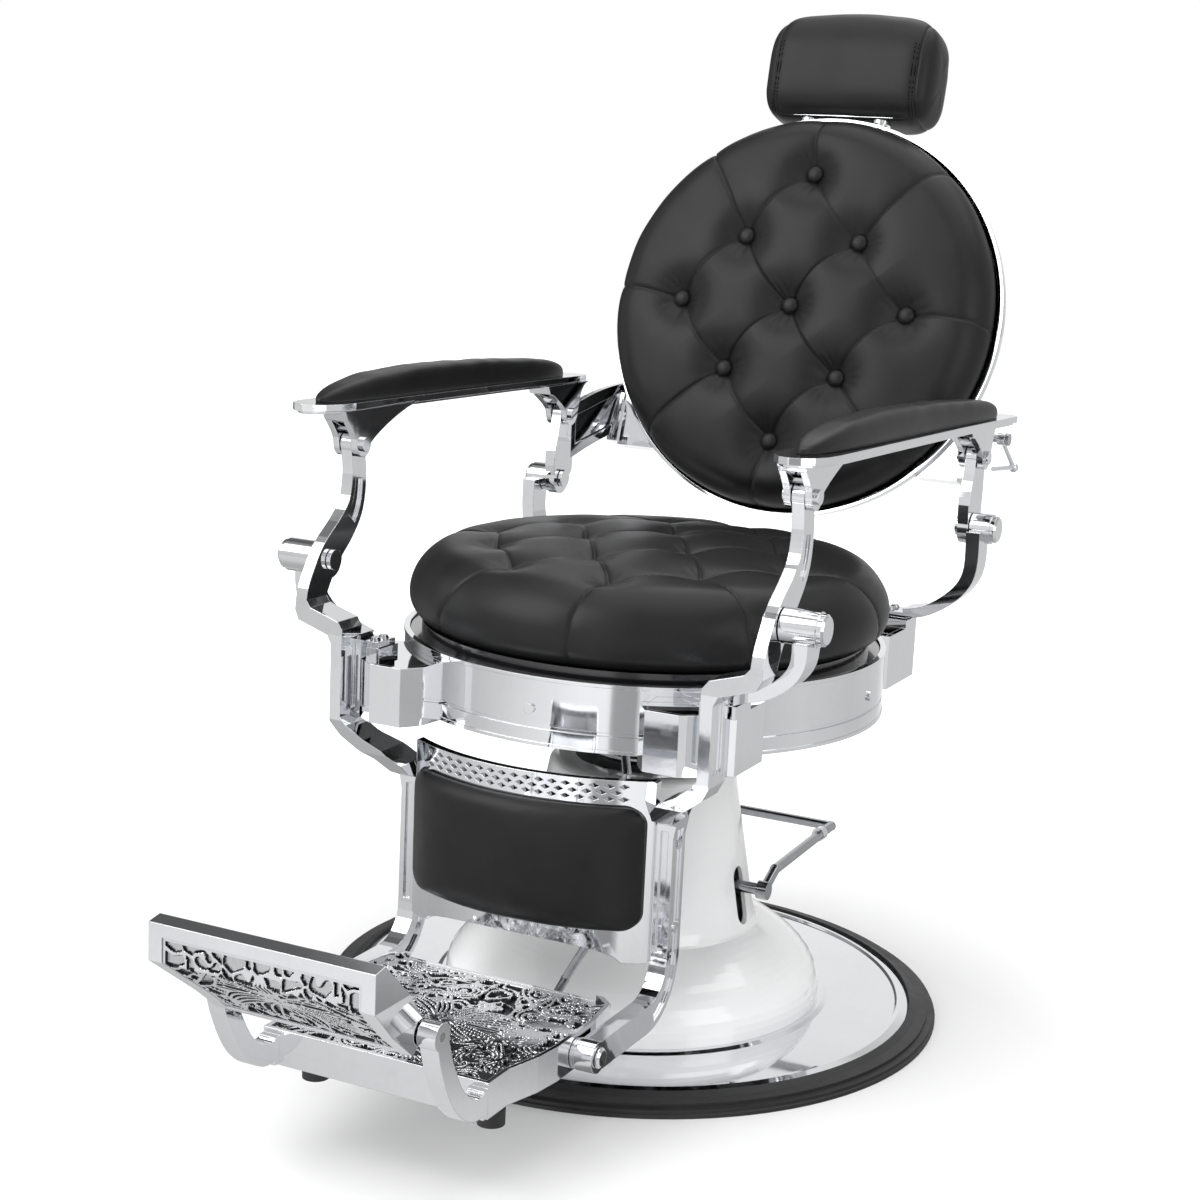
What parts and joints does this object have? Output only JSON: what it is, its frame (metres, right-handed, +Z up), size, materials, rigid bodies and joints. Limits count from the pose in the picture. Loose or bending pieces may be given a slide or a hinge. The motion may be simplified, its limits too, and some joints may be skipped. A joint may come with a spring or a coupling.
{
  "type": "hydraulic barber chair",
  "caption": "Round-backed tufted barber chair on a hydraulic pump base, with linked armrests, calf rest and a flip-over footrest that move as the back reclines.",
  "frame": {"origin": "on the floor, on the axis of the hydraulic column", "axes": "+Z up along the column, -Y the way the sitter faces, +X the sitter's left"},
  "size_m": [0.7499, 1.4381, 1.2193],
  "materials": {
    "chrome": "polished plate",
    "enamel": "gloss white enamel",
    "upholstery": "smooth gloss leathercloth",
    "rubber": "moulded",
    "iron": "dark machine paint",
    "steel": "turned",
    "board": "dark stained ply",
    "brass": "turned",
    "lacquer": "black gloss lacquer",
    "cast_chrome": "polished chrome plate on a casting",
    "tread": "chrome plate on cast ornament"
  },
  "bodies": {
    "base": {"base_plate": "chrome", "base_ring": "rubber", "pump_cover": "enamel", "pump_cylinder": "iron", "cylinder_bolts": "steel", "gland_nut": "steel", "pedal_bracket": "iron", "pedal_pivot_pin": "steel"},
    "pedal": {"pedal_yoke": "steel", "foot_bar": "steel", "bar_collars": "chrome"},
    "column": {"piston_rod": "chrome", "swivel_head": "chrome", "thrust_washer": "brass"},
    "seat": {"seat_frame": "iron", "seat_apron": "chrome", "seat_pan": "lacquer", "seat_cushion": "upholstery", "apron_screws": "chrome", "front_bracket_left": "chrome", "front_bracket_right": "chrome", "rear_bracket_left": "chrome", "rear_bracket_right": "chrome", "bracket_screws": "steel", "pivot_pins": "chrome", "link_upper_pin": "steel"},
    "back": {"back_arm_left": "cast_chrome", "back_arm_right": "cast_chrome", "back_arm_bolts": "steel", "back_shell": "chrome", "back_board": "board", "back_cushion": "upholstery", "back_buttons": "upholstery", "headrest_guides": "chrome", "handle_pivot": "steel"},
    "headrest": {"headrest_posts": "chrome", "headrest_pad": "upholstery"},
    "left_armrest": {"armrest_left": "cast_chrome", "armrest_pad_left": "upholstery", "armrest_pins_left": "chrome"},
    "right_armrest": {"armrest_right": "cast_chrome", "armrest_pad_right": "upholstery", "armrest_pins_right": "chrome"},
    "handle": {"recline_handle": "chrome", "handle_knob": "chrome"},
    "legrest": {"leg_lever_left": "cast_chrome", "leg_lever_right": "cast_chrome", "calf_frame": "cast_chrome", "calf_board": "board", "calf_pad": "upholstery", "calf_screws": "chrome"},
    "footrest": {"footrest_platform": "cast_chrome", "tread_plate": "tread", "footrest_arms": "cast_chrome", "bumper_feet": "rubber", "platform_pins": "chrome", "flip_pins": "steel"},
    "link": {"levelling_link": "steel"},
    "flip_rest": {"flip_frame": "cast_chrome", "flip_insert": "tread"}
  },
  "joints": [
    {"name": "height", "type": "slide", "parent": "base", "child": "column", "axis": [0, 0, 1], "range_m": [0, 0.15]},
    {"name": "swivel", "type": "hinge", "parent": "column", "child": "seat", "pos_m": [0, 0, 0.33], "axis": [0, 0, 1], "continuous": true},
    {"name": "recline", "type": "hinge", "parent": "seat", "child": "back", "pos_m": [0, 0.304, 0.58], "axis": [-1, 0, 0], "range_deg": [0, 35]},
    {"name": "left_armrest_level", "type": "hinge", "parent": "back", "child": "left_armrest", "pos_m": [0.292, 0.31, 0.668], "axis": [-1, 0, 0], "range_deg": [-36.6, 0]},
    {"name": "right_armrest_level", "type": "hinge", "parent": "back", "child": "right_armrest", "pos_m": [-0.292, 0.31, 0.668], "axis": [-1, 0, 0], "range_deg": [-36.6, 0]},
    {"name": "legrest_swing", "type": "hinge", "parent": "seat", "child": "legrest", "pos_m": [0, -0.285, 0.554], "axis": [-1, 0, 0], "range_deg": [0, 24.9]},
    {"name": "footrest_level", "type": "hinge", "parent": "legrest", "child": "footrest", "pos_m": [0, -0.44, 0.109], "axis": [-1, 0, 0], "range_deg": [-24.7, 0]},
    {"name": "link_swing", "type": "hinge", "parent": "seat", "child": "link", "pos_m": [0.088, -0.25, 0.42], "axis": [-1, 0, 0], "range_deg": [0, 36]},
    {"name": "flip_footrest", "type": "hinge", "parent": "footrest", "child": "flip_rest", "pos_m": [0, -0.694, 0.212], "axis": [-1, 0, 0], "range_deg": [0, 125]},
    {"name": "headrest_height", "type": "slide", "parent": "back", "child": "headrest", "axis": [0, 0.2924, 0.9563], "range_m": [0, 0.09]},
    {"name": "handle_turn", "type": "hinge", "parent": "back", "child": "handle", "pos_m": [0.303, 0.386, 0.684], "axis": [1, 0, 0], "range_deg": [0, 20]},
    {"name": "pump_pedal", "type": "hinge", "parent": "base", "child": "pedal", "pos_m": [0, -0.085, 0.15], "axis": [-1, 0, 0], "range_deg": [0, 18], "stiffness_Nm_per_rad": 10, "springref_deg": -40.11}
  ],
  "couplings": [
    {"joint": "left_armrest_level", "follows": "recline", "ratio": -1.0411},
    {"joint": "right_armrest_level", "follows": "recline", "ratio": -1.0411},
    {"joint": "legrest_swing", "follows": "recline", "ratio": 0.707},
    {"joint": "footrest_level", "follows": "recline", "ratio": -0.694},
    {"joint": "link_swing", "follows": "recline", "ratio": 1.023}
  ]
}
